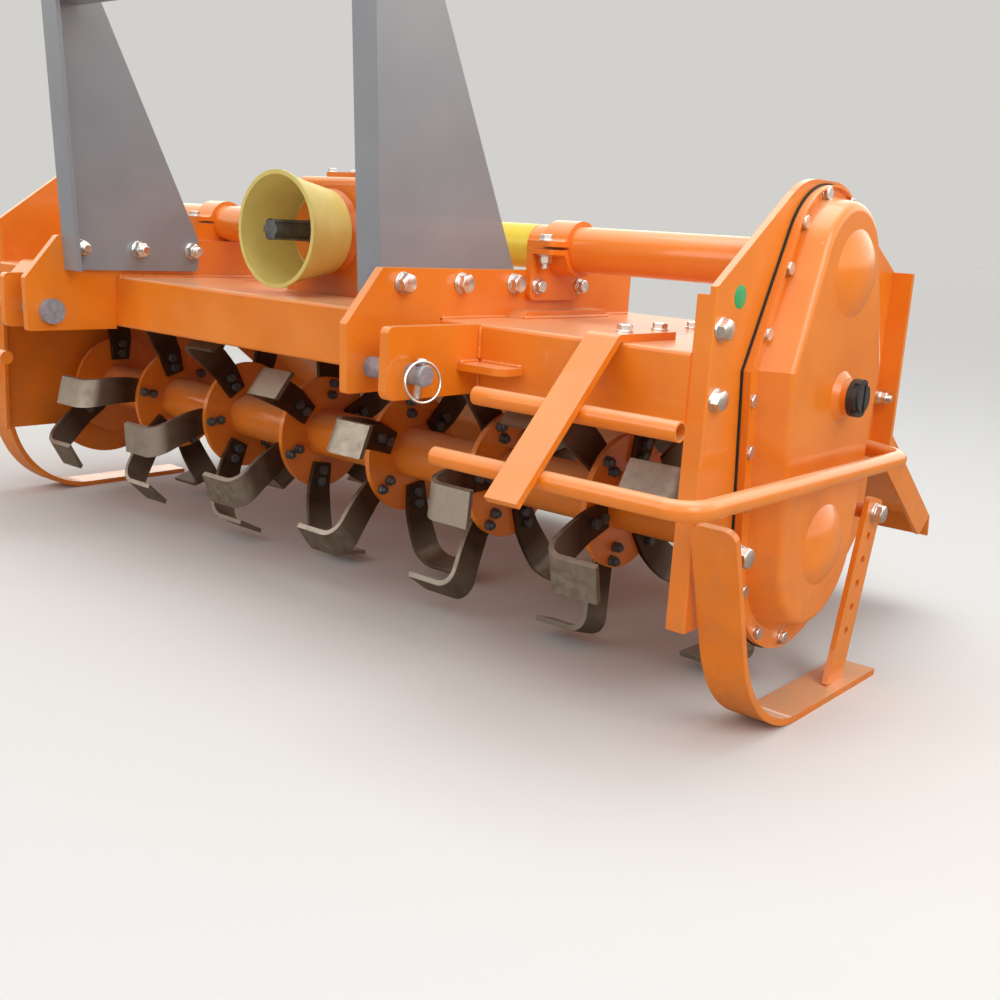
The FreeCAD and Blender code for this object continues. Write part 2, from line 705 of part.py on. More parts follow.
strip_end = (ground + strip_z - 4) / math.cos(strip_lean)
strip_top = 22.0
strip = prism_x([on_strip(-strip_top, -strip_half, 10), on_strip(-strip_top, strip_half, 10),
                 on_strip(strip_end - 7, strip_half), on_strip(strip_end - 2, -strip_half)], ear_x - ear_t, ear_x)
for i in range(1, 6):
    strip = strip.cut(cyl_x(*on_strip(strip_pitch * i, 0), strip_hole_r, ear_x - ear_t - 1, ear_x + 1))
parts["skid_left"] = fuse(runner, ear, strip)
parts["skid_mounts_left"] = Part.makeCompound([cyl_x(pivot_y, pivot_z, spacer_r, side_x, ear_x - ear_t),
                                               cyl_x(strip_y, strip_z, spacer_r, side_x, ear_x - ear_t)])

# Rotor: tube with stub shafts and round flanges, and the L-shaped blades bolted to them.
discs = [disc_pitch * (i - (disc_count - 1) / 2) for i in range(disc_count)]
rotor = cyl_x(axis_y, rotor_z, hub_r, -(inner - 12), inner - 12)
rotor = rotor.fuse(cyl_x(axis_y, rotor_z, stub_r, -(side_x - 1), side_x - 1))
for x in discs:
    rotor = rotor.fuse(cyl_x(axis_y, rotor_z, disc_r, x - disc_half, x + disc_half))
parts["rotor_shaft"] = rotor.removeSplitter()
leaf_z = math.sqrt((rotor_r - 1) ** 2 - leaf_back ** 2)
bent = ribbon([(disc_half + leaf_reach, leaf_z), (disc_half, leaf_z), (disc_half, leaf_root)],
              leaf_t, leaf_bend, -leaf_back - 30, leaf_back + 30)
bent.rotate(V(0, 0, 0), V(0, 0, 1), -90)
middle = (disc_r + leaf_z + 1) / 2
front = Part.Arc(V(0, leaf_neck_half, disc_r), V(0, leaf_neck_half * 0.66, middle), V(0, -2, leaf_z + 1)).toShape()
back = Part.Arc(V(0, -leaf_back, leaf_z + 1), V(0, -leaf_back * 0.69, middle), V(0, -leaf_neck_half, disc_r)).toShape()
corners = [V(0, -2, leaf_z + 1), V(0, -leaf_back, leaf_z + 1)]
root = [V(0, -leaf_neck_half, disc_r), V(0, -leaf_root_half, leaf_root), V(0, leaf_root_half, leaf_root),
        V(0, leaf_neck_half, disc_r)]
edges = [front, Part.LineSegment(*corners).toShape(), back]
edges += [Part.LineSegment(a, b).toShape() for a, b in zip(root, root[1:])]
sickle = Part.Face(Part.Wire(edges)).extrude(V(disc_half + leaf_reach + 1, 0, 0))
one_blade = bent.common(sickle)
one_blade.translate(V(0, axis_y, rotor_z))


def blade(x, way, turn):
    one = one_blade.copy() if way > 0 else mirror(one_blade)
    one.translate(V(x, 0, 0))
    one.rotate(V(0, axis_y, rotor_z), V(1, 0, 0), turn)
    return one


right_hand = []
left_hand = []
for i, x in enumerate(discs):
    for k in range(leaf_count):
        turn = 360 / leaf_count * k + turn_step * i
        if i < disc_count - 1:
            left_hand.append(blade(x, 1, turn))
        if i > 0:
            right_hand.append(blade(x, -1, turn + hand_turn))
parts["rotor_blades_left"] = Part.makeCompound(left_hand)
parts["rotor_blades_right"] = Part.makeCompound(right_hand)

# Tailboard: ribbed sheet with a bent lower edge on a hinge rod behind the deck.
parts["hinge_rod"] = cyl_x(hinge_y, hinge_z, hinge_r, -(inner - 1), inner - 1)
knuckle_x = 380.0
knuckle_gap = 10.0
lugs = []
for i in range(-2, 3):
    x = knuckle_x * i
    plate = prism_x([(deck_rear, hinge_z + 22), (deck_rear, hinge_z - 20), (hinge_y, hinge_z - 17, 6),
                     (hinge_y + 15, hinge_z, 8), (hinge_y, hinge_z + 17, 6)], x - 5, x + 5)
    lugs.append(plate.cut(cyl_x(hinge_y, hinge_z, hinge_r, x - 9, x + 9)))
parts["hinge_lugs"] = Part.makeCompound(lugs)
low_y = hinge_y + board_len
board = box(-board_half, board_half, hinge_y + 14, low_y, hinge_z - board_t / 2, hinge_z + board_t / 2)
lower = prism_x([(low_y - 1, hinge_z - board_t / 2), (low_y + board_lip, hinge_z - board_t / 2 - board_lip),
                 (low_y + board_lip + 3.5, hinge_z + board_t / 2 - board_lip - 1.5),
                 (low_y + 2, hinge_z + board_t / 2), (low_y - 1, hinge_z + board_t / 2)], -board_half, board_half)
board = board.fuse(lower)
stops = [-2 * knuckle_x, -knuckle_x, 0, knuckle_x, 2 * knuckle_x]
for a, b in zip(stops, stops[1:]):
    knuckle = ring_x(hinge_y, hinge_z, 15, hinge_r + running_gap, a + knuckle_gap, b - knuckle_gap)
    board = board.fuse(knuckle)
gaps = [(-board_half - 1, stops[0] + knuckle_gap), (stops[-1] - knuckle_gap, board_half + 1)]
gaps += [(x - knuckle_gap, x + knuckle_gap) for x in stops[1:-1]]
for x0, x1 in gaps:
    board = board.cut(box(x0, x1, hinge_y - 30, hinge_y + 32, hinge_z - 30, hinge_z + 30))
rib_t = 10.0
angle_h = 26.0
cross = prism_x([(low_y - 96, hinge_z), (low_y - 96, hinge_z + angle_h), (low_y - 91, hinge_z + angle_h),
                 (low_y - 91, hinge_z + 6), (low_y - 66, hinge_z + 6), (low_y - 66, hinge_z)],
                -board_half + 40, board_half - 40)
board = board.fuse(cross)
for s in (-1, 1):
    x0, x1 = sorted((s * board_half, s * (board_half - 6)))
    side_strip = prism_x([(hinge_y + 60, hinge_z), (hinge_y + 90, hinge_z - 47, 10), (low_y - 15, hinge_z - 47, 10),
                          (low_y, hinge_z)], x0, x1)
    board = board.fuse(side_strip)
    x0, x1 = s * rod_x - rib_t / 2, s * rod_x + rib_t / 2
    rib = prism_x([(hinge_y + 40, hinge_z), (hinge_y + eye_u - 34, hinge_z + 22, 20),
                   (hinge_y + eye_u - 16, hinge_z + eye_w), (hinge_y + eye_u + 16, hinge_z + eye_w),
                   (hinge_y + eye_u + 60, hinge_z + 22, 20), (low_y - 40, hinge_z)], x0, x1)
    rib = rib.fuse(cyl_x(hinge_y + eye_u, hinge_z + eye_w, 16, x0, x1))
    rib = rib.cut(cyl_x(hinge_y + eye_u, hinge_z + eye_w, 11, x0 - 1, x1 + 1))
    board = board.fuse(rib)
board = board.removeSplitter()
parts["tailboard"] = turned(board, hinge_y, hinge_z, -board_slope)

# Rods that hold the tailboard: post, swivel block and rod on each side.
c = math.cos(math.radians(-board_slope))
s = math.sin(math.radians(-board_slope))
eye = (hinge_y + eye_u * c - eye_w * s, hinge_z + eye_u * s + eye_w * c)
rod_turn = math.degrees(math.atan2(eye[1] - swivel_z, eye[0] - swivel_y))
rod_len = math.hypot(eye[0] - swivel_y, eye[1] - swivel_z)
rod_tail = 46.0
post_side = [(swivel_y - 70, deck_top), (swivel_y - 20, swivel_z + 20, 18), (swivel_y + 20, swivel_z + 20, 18),
             (swivel_y + 5, deck_top)]
post_out = post_half + post_t
post = fuse(prism_x(post_side, rod_x + post_half, rod_x + post_out),
            prism_x(post_side, rod_x - post_out, rod_x - post_half),
            box(rod_x - post_out, rod_x + post_out, swivel_y - 70, swivel_y + 5, deck_top, deck_top + 6))
trunnion_r = 8.0
post = post.cut(cyl_x(swivel_y, swivel_z, trunnion_r + running_gap, rod_x - 40, rod_x + 40))
parts["rod_post_left"] = post
block = box(rod_x - 17, rod_x + 17, swivel_y - 14, swivel_y + 14, swivel_z - 17, swivel_z + 17)
block = fuse(block.makeFillet(3, block.Edges), cyl_x(swivel_y, swivel_z, trunnion_r, rod_x - 36, rod_x + 36))
block = block.cut(cyl(rod_x, swivel_y - 60, swivel_z, rod_r + running_gap, 120, (0, 1, 0)))
parts["rod_swivel_left"] = turned(block, swivel_y, swivel_z, rod_turn)
fork_y = swivel_y + rod_len
bar = cyl(rod_x, swivel_y - rod_tail, swivel_z, rod_r, rod_len + rod_tail - 30, (0, 1, 0))
stop = cyl(rod_x, swivel_y - 16, swivel_z, 16, 12, (0, -1, 0))
seat = cyl(rod_x, fork_y - 60, swivel_z, 22, 6, (0, 1, 0))
fork = box(rod_x - 20, rod_x + 20, fork_y - 38, fork_y - 24, swivel_z - 14, swivel_z + 14)
for x0, x1 in ((rod_x - 20, rod_x - 12), (rod_x + 12, rod_x + 20)):
    cheek = box(x0, x1, fork_y - 38, fork_y, swivel_z - 14, swivel_z + 14)
    cheek = cheek.fuse(cyl_x(fork_y, swivel_z, 14, x0, x1))
    fork = fork.fuse(cheek)
fork = fork.fuse(cyl_x(fork_y, swivel_z, 6, rod_x - 20, rod_x + 20))
parts["rod_left"] = turned(fuse(bar, stop, seat, fork), swivel_y, swivel_z, rod_turn)

# The other side's twins.
for name in list(parts):
    if name.endswith("_left") and name.replace("_left", "_right") not in parts:
        parts[name.replace("_left", "_right")] = mirror(parts[name])

# The origin is on the ground under the middle of the machine.
whole = FreeCAD.BoundBox()
for shape in parts.values():
    whole.add(shape.optimalBoundingBox())
shift_y = -(whole.YMin + whole.YMax) / 2
for name, shape in parts.items():
    shape.translate(V(0, shift_y, pin_z))
    shape.exportStep("parts/" + name + ".step")
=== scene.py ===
import math
import bmesh
import bpy
from mathutils import Matrix, Vector


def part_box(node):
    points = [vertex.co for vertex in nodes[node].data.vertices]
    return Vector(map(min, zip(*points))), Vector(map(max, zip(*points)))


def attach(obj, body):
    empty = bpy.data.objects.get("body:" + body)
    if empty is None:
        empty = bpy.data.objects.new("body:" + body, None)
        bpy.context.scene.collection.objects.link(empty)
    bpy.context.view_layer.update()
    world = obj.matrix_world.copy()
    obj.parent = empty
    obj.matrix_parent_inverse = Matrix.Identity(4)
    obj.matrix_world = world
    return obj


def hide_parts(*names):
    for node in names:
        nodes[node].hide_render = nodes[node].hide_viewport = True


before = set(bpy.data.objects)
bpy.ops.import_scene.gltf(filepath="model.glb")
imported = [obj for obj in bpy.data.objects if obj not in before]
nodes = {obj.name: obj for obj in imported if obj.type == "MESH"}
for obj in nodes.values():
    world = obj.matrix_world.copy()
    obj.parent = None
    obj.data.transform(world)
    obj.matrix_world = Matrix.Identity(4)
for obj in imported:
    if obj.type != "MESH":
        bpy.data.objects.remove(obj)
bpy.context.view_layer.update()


# Viewpoint of the photograph: in front of the gear case side, a little above the deck, held
# slightly out of level. The axis of the lower hitch pins is the origin of all measured places.
def at(x, y, z):
    """A place in metres from millimetres: x from the middle, y and z from the lower pins' axis."""
    return Vector((x / 1000, pin_y + y / 1000, pin_z + z / 1000))


low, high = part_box("lower_pin_left")
pin_y = (low[1] + high[1]) / 2
pin_z = (low[2] + high[2]) / 2
azimuth = math.radians(39.35)
elevation = math.radians(12.97)
roll = math.radians(3.58)
look = Vector((-math.sin(azimuth) * math.cos(elevation), math.cos(azimuth) * math.cos(elevation),
               -math.sin(elevation)))
across = Vector((math.cos(azimuth), math.sin(azimuth), 0.0))
above = across.cross(look)
right = across * math.cos(roll) + above * math.sin(roll)
up = above * math.cos(roll) - across * math.sin(roll)
eye = at(1562.2, -1111.9, 193.9)
camera_data = bpy.data.cameras.new("photo_view")
camera_data.sensor_width = 36.0
camera_data.lens = 42.77
camera = bpy.data.objects.new("photo_view", camera_data)
camera.matrix_world = Matrix((
    (right.x, up.x, -look.x, eye.x),
    (right.y, up.y, -look.y, eye.y),
    (right.z, up.z, -look.z, eye.z),
    (0.0, 0.0, 0.0, 1.0)))
bpy.context.scene.collection.objects.link(camera)
bpy.context.scene.camera = camera
bpy.context.scene.view_settings.view_transform = "Standard"


# Studio: a pale matt floor under an even sky of the same tone, so that no horizon shows. A ceiling
# lamp, one towards the gear case side, a weaker one towards the front and a wide haze light stand
# for open shade. What the paint mirrors is brown as earth below and a bright low sky above.
def linear(code):
    """The linear colour of an sRGB hex code."""
    channels = [int(code[i:i + 2], 16) / 255 for i in (1, 3, 5)]
    return [c / 12.92 if c <= 0.04045 else ((c + 0.055) / 1.055) ** 2.4 for c in channels] + [1.0]


def add(tree, kind, settings=None, links=None, **values):
    """Adds a node with its settings and links."""
    node = tree.nodes.new(kind)
    for name, value in values.items():
        setattr(node, name, value)
    for socket, value in (settings or {}).items():
        node.inputs[socket].default_value = value
    for socket, source in (links or {}).items():
        tree.links.new(source, node.inputs[socket])
    return node


floor_reach = 60.0
bm = bmesh.new()
bmesh.ops.create_grid(bm, x_segments=1, y_segments=1, size=floor_reach)
floor_mesh = bpy.data.meshes.new("floor")
bm.to_mesh(floor_mesh)
bm.free()
floor = bpy.data.objects.new("floor", floor_mesh)
bpy.context.scene.collection.objects.link(floor)
floor_paint = bpy.data.materials.new("matt_pale_floor")
floor_paint.use_nodes = True
tree = floor_paint.node_tree
floor_ray = add(tree, "ShaderNodeLightPath")
floor_tone = add(tree, "ShaderNodeMix", {"A": linear("#d9d8d4"), "B": linear("#8d7c6a")},
                 {"Factor": floor_ray.outputs["Is Glossy Ray"]}, data_type="RGBA")
tree.links.new(floor_tone.outputs["Result"], tree.nodes["Principled BSDF"].inputs["Base Color"])
tree.nodes["Principled BSDF"].inputs["Roughness"].default_value = 0.9
floor_mesh.materials.append(floor_paint)

world = bpy.data.worlds.new("overcast")
bpy.context.scene.world = world
world.use_nodes = True
tree = world.node_tree
tree.nodes.clear()
ray = add(tree, "ShaderNodeLightPath")
sky = add(tree, "ShaderNodeBackground", {"Color": linear("#eef1f5"), "Strength": 0.5})
direction = add(tree, "ShaderNodeSeparateXYZ",
                links={0: add(tree, "ShaderNodeTexCoord").outputs["Generated"]})
above_horizon = add(tree, "ShaderNodeMapRange",
                    {"From Min": 0.05, "From Max": 0.16, "To Min": 0.3, "To Max": 2.5},
                    {"Value": direction.outputs["Z"]})
overhead = add(tree, "ShaderNodeMapRange",
               {"From Min": 0.38, "From Max": 0.65, "To Min": 1.0, "To Max": 0.52},
               {"Value": direction.outputs["Z"]})
glow = add(tree, "ShaderNodeMath", links={0: above_horizon.outputs[0], 1: overhead.outputs[0]},
           operation="MULTIPLY")
mirrored = add(tree, "ShaderNodeBackground", {"Color": linear("#fff6ea")}, {"Strength": glow.outputs[0]})
seen = add(tree, "ShaderNodeBackground", {"Color": linear("#d3d1cd"), "Strength": 1.0})
glossy = add(tree, "ShaderNodeMixShader",
             links={0: ray.outputs["Is Glossy Ray"], 1: sky.outputs[0], 2: mirrored.outputs[0]})
mixed = add(tree, "ShaderNodeMixShader",
            links={0: ray.outputs["Is Camera Ray"], 1: glossy.outputs[0], 2: seen.outputs[0]})
add(tree, "ShaderNodeOutputWorld", links={"Surface": mixed.outputs[0]})

lamps = (
    # name, place, aim, size in metres, watts
    ("ceiling", (0.2, 0.2, 3.6), (0.0, 0.0, 0.4), 3.2, 50.0),
    ("gear_case_side", (3.4, -1.2, 2.2), (0.3, 0.0, 0.5), 2.0, 38.0),
    ("front", (-0.6, -3.6, 1.9), (0.0, 0.0, 0.5), 2.2, 20.0),
)
for name, place, aim, size, watts in lamps:
    data = bpy.data.lights.new(name, "AREA")
    data.shape = "DISK"
    data.size = size
    data.energy = watts
    lamp = bpy.data.objects.new(name, data)
    lamp.location = place
    lamp.rotation_euler = (Vector(aim) - Vector(place)).to_track_quat("-Z", "Y").to_euler()
    bpy.context.scene.collection.objects.link(lamp)
haze_data = bpy.data.lights.new("haze", "SUN")
haze_data.energy = 1.1
haze_data.angle = math.radians(90.0)
haze = bpy.data.objects.new("haze", haze_data)
haze.rotation_euler = (math.radians(12.0), math.radians(14.0), 0.0)
bpy.context.scene.collection.objects.link(haze)


# Orange and grey paint: polyester powder coat on steel, baked, glossy with a faint orange peel and
# rounded cut edges. Its tone drifts a little. Pale tan lightens what faces up, partly settled dust
# and partly a painted sky sheen; earth dust and dried specks lie on it low down. The castings are
# painted over their rough skin.
def painted(name, colour, shade, peel_mm, peel, roughness, dusty):
    """A powder coat with its peel, drift of tone, dust with painted sheen on top faces and specks of earth.
    """
    cloud_mm = 140.0
    smear_mm = 45.0
    speck_mm = 16.0
    edge_mm = 1.3
    clean_height = 0.62
    soiled_height = 0.02
    speck_weight = 1.6
    dust_and_sheen_share = 0.46
    material = bpy.data.materials.new(name)
    material.use_nodes = True
    tree = material.node_tree
    shader = tree.nodes["Principled BSDF"]
    coordinates = add(tree, "ShaderNodeTexCoord")
    place = coordinates.outputs["Object"]
    cloud = add(tree, "ShaderNodeTexNoise", {"Scale": 1000 / cloud_mm, "Detail": 3.0}, {"Vector": place})
    drift = add(tree, "ShaderNodeMapRange", {"From Min": 0.35, "From Max": 0.68},
                {"Value": cloud.outputs["Fac"]})
    coat = add(tree, "ShaderNodeMix", {"A": linear(colour), "B": linear(shade)},
               {"Factor": drift.outputs[0]}, data_type="RGBA")
    height = add(tree, "ShaderNodeSeparateXYZ", links={0: place})
    low_down = add(tree, "ShaderNodeMapRange",
                   {"From Min": clean_height, "From Max": soiled_height, "To Max": dusty},
                   {"Value": height.outputs["Z"]})
    smear = add(tree, "ShaderNodeTexNoise", {"Scale": 1000 / smear_mm, "Detail": 6.0, "Roughness": 0.65},
                {"Vector": place})
    patch = add(tree, "ShaderNodeMapRange", {"From Min": 0.42, "From Max": 0.72},
                {"Value": smear.outputs["Fac"]})
    film = add(tree, "ShaderNodeMath", links={0: low_down.outputs[0], 1: patch.outputs[0]},
               operation="MULTIPLY")
    cells = add(tree, "ShaderNodeTexVoronoi", {"Scale": 1000 / speck_mm}, {"Vector": place})
    dots = add(tree, "ShaderNodeMapRange", {"From Min": 0.13, "From Max": 0.07},
               {"Value": cells.outputs["Distance"]})
    specks = add(tree, "ShaderNodeMath", links={0: dots.outputs[0], 1: film.outputs[0]},
                 operation="MULTIPLY")
    crust = add(tree, "ShaderNodeMath", {1: speck_weight}, {0: specks.outputs[0]}, operation="MULTIPLY")
    earth = add(tree, "ShaderNodeMath", links={0: crust.outputs[0], 1: film.outputs[0]},
                operation="ADD", use_clamp=True)
    soiled = add(tree, "ShaderNodeMix", {"B": linear("#9a7450")},
                 {"Factor": earth.outputs[0], "A": coat.outputs["Result"]}, data_type="RGBA")
    # Faces turned up get a pale tan: partly settled dust, partly a painted sky sheen that lightens the
    # tops.
    facing = add(tree, "ShaderNodeSeparateXYZ", links={0: coordinates.outputs["Normal"]})
    upward_dust_and_sheen = add(tree, "ShaderNodeMapRange", {"From Min": 0.4, "From Max": 0.97, "To Max": dust_and_sheen_share},
                 {"Value": facing.outputs["Z"]})
    uneven = add(tree, "ShaderNodeMapRange", {"To Min": 0.65, "To Max": 1.2},
                 {"Value": smear.outputs["Fac"]})
    dust_and_sheen = add(tree, "ShaderNodeMath", links={0: upward_dust_and_sheen.outputs[0], 1: uneven.outputs[0]},
                  operation="MULTIPLY")
    dust_and_sheen_coat = add(tree, "ShaderNodeMix", {"B": linear("#dccaa6")},
                 {"Factor": dust_and_sheen.outputs[0], "A": soiled.outputs["Result"]}, data_type="RGBA")
    tree.links.new(dust_and_sheen_coat.outputs["Result"], shader.inputs["Base Color"])
    dull = add(tree, "ShaderNodeMapRange", {"To Min": roughness, "To Max": 0.85},
               {"Value": earth.outputs[0]})
    tree.links.new(dull.outputs[0], shader.inputs["Roughness"])
    shader.inputs["Specular IOR Level"].default_value = 0.35
    shader.inputs["Coat Weight"].default_value = 0.5
    shader.inputs["Coat Roughness"].default_value = 0.07
    grain = add(tree, "ShaderNodeTexNoise", {"Scale": 1000 / peel_mm, "Detail": 2.0}, {"Vector": place})
    edge = add(tree, "ShaderNodeBevel", {"Radius": edge_mm / 1000}, samples=4)
    bump = add(tree, "ShaderNodeBump", {"Strength": peel, "Distance": 0.001},
               {"Height": grain.outputs["Fac"], "Normal": edge.outputs[0]})
    tree.links.new(bump.outputs[0], shader.inputs["Normal"])
    return material


orange = painted("orange_powder_coat", "#f0862a", "#e6780f", 5.0, 0.10, 0.34, 0.35)
cast_orange = painted("painted_cast_iron", "#e88028", "#dc701a", 3.0, 0.55, 0.42, 0.4)
mast_grey = painted("grey_powder_coat", "#8f9094", "#86888e", 5.0, 0.10, 0.40, 0.25)


# Bare metals: zinc plated bolts, the worn plating of the lower pins, turned steel of shafts under a
# thin oil film, and the forged blades, dark with scale at the root and rubbed bright by the earth
# towards their tips. The film and the wear leave the steel only partly metallic.
def metal(name, colour, shade, mottle_mm, roughness, rougher, scratch, metallic=1.0):
    """A bare metal with mottled tone and fine marks, and the node that gives its tone."""
    mark_mm = 1.5
    edge_mm = 0.6
    material = bpy.data.materials.new(name)
    material.use_nodes = True
    tree = material.node_tree
    shader = tree.nodes["Principled BSDF"]
    shader.inputs["Metallic"].default_value = metallic
    place = add(tree, "ShaderNodeTexCoord").outputs["Object"]
    mottle = add(tree, "ShaderNodeTexNoise", {"Scale": 1000 / mottle_mm, "Detail": 5.0, "Roughness": 0.6},
                 {"Vector": place})
    spread = add(tree, "ShaderNodeMapRange", {"From Min": 0.36, "From Max": 0.66},
                 {"Value": mottle.outputs["Fac"]})
    tone = add(tree, "ShaderNodeMix", {"A": linear(colour), "B": linear(shade)},
               {"Factor": spread.outputs[0]}, data_type="RGBA")
    tree.links.new(tone.outputs["Result"], shader.inputs["Base Color"])
    dull = add(tree, "ShaderNodeMapRange", {"To Min": roughness, "To Max": rougher},
               {"Value": spread.outputs[0]})
    tree.links.new(dull.outputs[0], shader.inputs["Roughness"])
    marks = add(tree, "ShaderNodeTexNoise", {"Scale": 1000 / mark_mm, "Detail": 3.0}, {"Vector": place})
    edge = add(tree, "ShaderNodeBevel", {"Radius": edge_mm / 1000}, samples=4)
    bump = add(tree, "ShaderNodeBump", {"Strength": scratch, "Distance": 0.0004},
               {"Height": marks.outputs["Fac"], "Normal": edge.outputs[0]})
    tree.links.new(bump.outputs[0], shader.inputs["Normal"])
    return material, tone


zinc = metal("zinc_plating", "#e6e8eb", "#cbcac7", 9.0, 0.26, 0.42, 0.25)[0]
turned = metal("oiled_turned_steel", "#66686b", "#4c4d50", 22.0, 0.38, 0.55, 0.3, 0.5)[0]
worn = metal("worn_zinc_plating", "#a0a0a8", "#84848c", 9.0, 0.42, 0.58, 0.4, 0.25)[0]
forged, scale_tone = metal("forged_blade_steel", "#4d4640", "#6a5140", 14.0, 0.5, 0.72, 0.7)
rotor_y = 392.0
rotor_z = -207.0
scaled_reach = 0.13
rubbed_reach = 0.2
tree = forged.node_tree
rotor_axis = at(0, rotor_y, rotor_z)
spot = add(tree, "ShaderNodeVectorMath", {1: (0.0, -rotor_axis.y, -rotor_axis.z)},
           {0: add(tree, "ShaderNodeTexCoord").outputs["Object"]}, operation="ADD")
flat = add(tree, "ShaderNodeVectorMath", {1: (0.0, 1.0, 1.0)}, {0: spot.outputs[0]}, operation="MULTIPLY")
reach = add(tree, "ShaderNodeVectorMath", links={0: flat.outputs[0]}, operation="LENGTH")
rubbed = add(tree, "ShaderNodeMapRange",
             {"From Min": scaled_reach, "From Max": rubbed_reach, "To Max": 0.85},
             {"Value": reach.outputs["Value"]})
bright = add(tree, "ShaderNodeMix", {"B": linear("#a39d94")},
             {"Factor": rubbed.outputs[0], "A": scale_tone.outputs["Result"]}, data_type="RGBA")
tree.links.new(bright.outputs["Result"], tree.nodes["Principled BSDF"].inputs["Base Color"])


# Plastics and rubber: the pale yellow shaft guard, the black filler plug with its moulded grain,
# and the black sheet gasket that shows as a line round the gear case.
def moulded(name, colour, shade, grain_mm, grain, roughness):
    """A moulded plastic or rubber with a fine grain and rubbed patches."""
    patch_mm = 26.0
    edge_mm = 0.8
    material = bpy.data.materials.new(name)
    material.use_nodes = True
    tree = material.node_tree
    shader = tree.nodes["Principled BSDF"]
    place = add(tree, "ShaderNodeTexCoord").outputs["Object"]
    patch = add(tree, "ShaderNodeTexNoise", {"Scale": 1000 / patch_mm, "Detail": 5.0}, {"Vector": place})
    tone = add(tree, "ShaderNodeMix", {"A": linear(colour), "B": linear(shade)},
               {"Factor": patch.outputs["Fac"]}, data_type="RGBA")
    tree.links.new(tone.outputs["Result"], shader.inputs["Base Color"])
    dull = add(tree, "ShaderNodeMapRange", {"To Min": roughness - 0.1, "To Max": roughness + 0.12},
               {"Value": patch.outputs["Fac"]})
    tree.links.new(dull.outputs[0], shader.inputs["Roughness"])
    cells = add(tree, "ShaderNodeTexNoise", {"Scale": 1000 / grain_mm, "Detail": 3.0}, {"Vector": place})
    edge = add(tree, "ShaderNodeBevel", {"Radius": edge_mm / 1000}, samples=4)
    bump = add(tree, "ShaderNodeBump", {"Strength": grain, "Distance": 0.0005},
               {"Height": cells.outputs["Fac"], "Normal": edge.outputs[0]})
    tree.links.new(bump.outputs[0], shader.inputs["Normal"])
    return material


guard_yellow = moulded("yellow_polyethylene", "#e2cf7c", "#d3bd62", 1.6, 0.35, 0.45)
plug_black = moulded("black_polyamide", "#202022", "#2c2b2a", 1.2, 0.5, 0.42)
gasket_black = moulded("black_gasket_sheet", "#141517", "#211f1d", 0.9, 0.6, 0.8)
finishes = {"orange": orange, "grey": mast_grey, "plated": zinc, "blade": forged, "machined": turned,
            "guard": guard_yellow, "black": plug_black, "gasket": gasket_black, "cast": cast_orange}
for thing in nodes.values():
    for slot in thing.material_slots:
        if slot.material:
            for key, finish in finishes.items():
                if slot.material.name.startswith(key):
                    slot.material = finish
                    break
for name in ("lower_pin_left", "lower_pin_right"):
    for slot in nodes[name].material_slots:
        slot.material = worn


# Bolts of the gear case cover: hexagon head M10, zinc plated, with a washer, through the flange
# all round the pan into the side plate.
def turned_shape(profile, steps, hoop=False):
    """A closed mesh turned about Z from a profile of (radius, height) in millimetres.

    The profile runs anticlockwise, from the axis back to the axis, or round on itself for a hoop.
    """
    bm = bmesh.new()
    rings = []
    for radius, height in profile:
        if radius == 0:
            rings.append([bm.verts.new((0.0, 0.0, height / 1000))] * steps)
        else:
            angles = [2 * math.pi * i / steps for i in range(steps)]
            rings.append([bm.verts.new((radius * math.cos(angle) / 1000, radius * math.sin(angle) / 1000,
                                        height / 1000)) for angle in angles])
    if hoop:
        rings.append(rings[0])
    for lower, upper in zip(rings, rings[1:]):
        for i in range(steps):
            j = (i + 1) % steps
            corners = dict.fromkeys((lower[i], lower[j], upper[j], upper[i]))
            bm.faces.new(list(corners))
    mesh = bpy.data.meshes.new("turned")
    bm.to_mesh(mesh)
    bm.free()
    return mesh


def hex_shape(flats, height, steps):
    """A hexagon head with its chamfered top, standing on Z = 0."""
    corner_drop = 0.4
    chamfer_slope = 0.75
    top_share = 0.94
    bm = bmesh.new()
    inside = flats / 2
    rings = []
    for level in range(3):
        ring = []
        for i in range(6 * steps):
            angle = math.pi / 3 * i / steps
            radius = inside / math.cos((angle + math.pi / 6) % (math.pi / 3) - math.pi / 6)
            z = 0.0
            if level == 1:
                z = height - corner_drop - (radius - inside) * chamfer_slope
            if level == 2:
                radius = inside * top_share
                z = height
            ring.append(bm.verts.new((radius * math.cos(angle) / 1000, radius * math.sin(angle) / 1000,
                                      z / 1000)))
        rings.append(ring)
    for lower, upper in zip(rings, rings[1:]):
        for i in range(6 * steps):
            j = (i + 1) % (6 * steps)
            bm.faces.new((lower[i], lower[j], upper[j], upper[i]))
    bm.faces.new(list(reversed(rings[0])))
    bm.faces.new(rings[2])
    mesh = bpy.data.meshes.new("hexagon")
    bm.to_mesh(mesh)
    bm.free()
    return mesh


def put(bm, mesh, foot, way, turn=0.0):
    """Adds a copy of a mesh with its Z axis along a direction."""
    first = len(bm.verts)
    bm.from_mesh(mesh)
    bm.verts.ensure_lookup_table()
    matrix = (Matrix.Translation(foot) @ Vector(way).to_track_quat("Z", "Y").to_matrix().to_4x4()
              @ Matrix.Rotation(turn, 4, "Z"))
    bmesh.ops.transform(bm, matrix=matrix, verts=bm.verts[first:])


def piece(bm, name, material, body, crease=32):
    """Makes the piece from its mesh, gives it its finish and lets it ride on its body."""
    mesh = bpy.data.meshes.new(name)
    bm.to_mesh(mesh)
    bm.free()
    mesh.shade_smooth()
    mesh.set_sharp_from_angle(angle=math.radians(crease))
    mesh.materials.append(material)
    thing = bpy.data.objects.new(name, mesh)
    bpy.context.scene.collection.objects.link(thing)
    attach(thing, body)
    return thing


